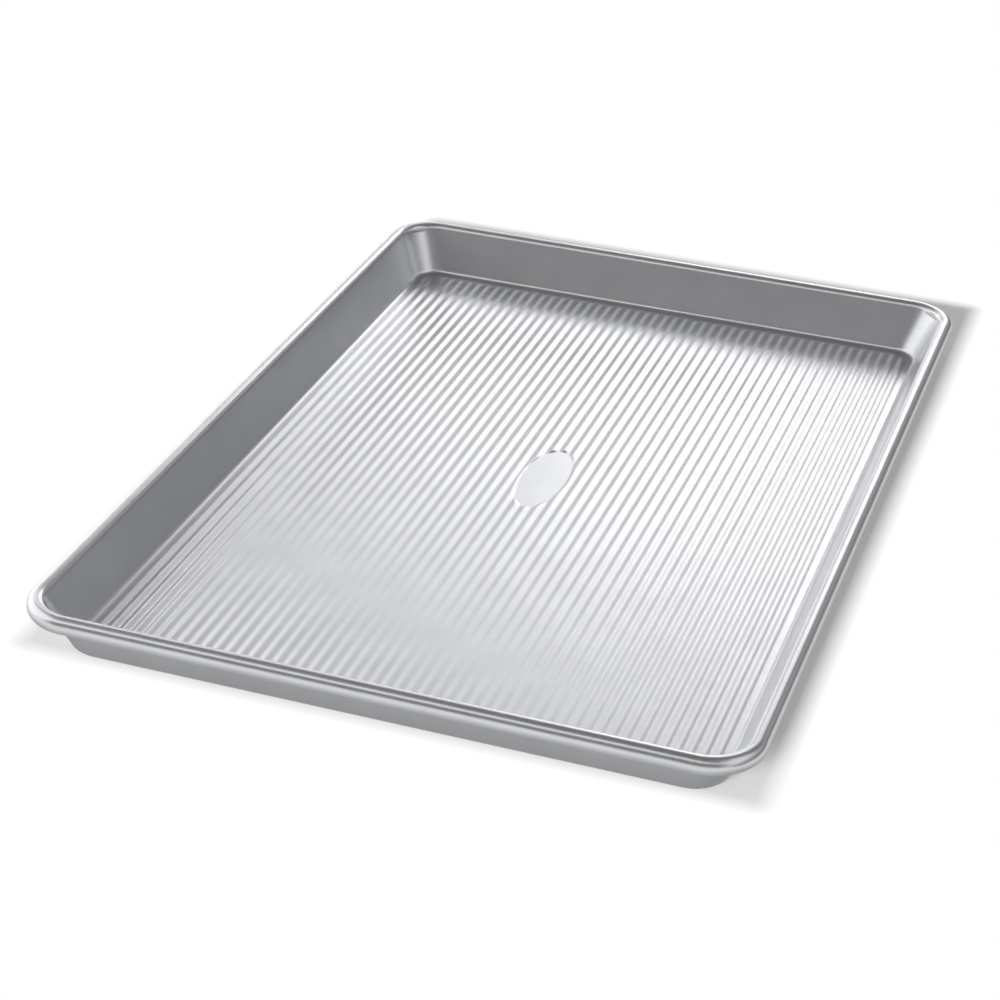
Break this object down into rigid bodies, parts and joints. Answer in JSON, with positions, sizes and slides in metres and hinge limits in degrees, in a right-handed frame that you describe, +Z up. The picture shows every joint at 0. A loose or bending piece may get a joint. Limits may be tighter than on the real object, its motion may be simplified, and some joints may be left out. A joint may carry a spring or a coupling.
{
  "type": "jelly roll pan",
  "caption": "Shallow rectangular baking pan of satin aluminised steel with a ribbed floor, leaning walls, rounded corners and a rolled rim stiffened by a wire.",
  "frame": {"origin": "on the table, under the middle of the pan", "axes": "+X across the pan, +Y along the pan and along its ribs, +Z up"},
  "size_m": [0.2604, 0.3874, 0.0212],
  "materials": {
    "aluminised_steel": "satin silver, a thin hot-dipped coat with faint mottling and fine drawing lines",
    "rim_wire_steel": "plain bright wire, hidden in the rolled rim apart from a slit below it"
  },
  "bodies": {
    "root": {"pan_shell": "aluminised_steel", "rim_wire": "rim_wire_steel"}
  },
  "joints": []
}
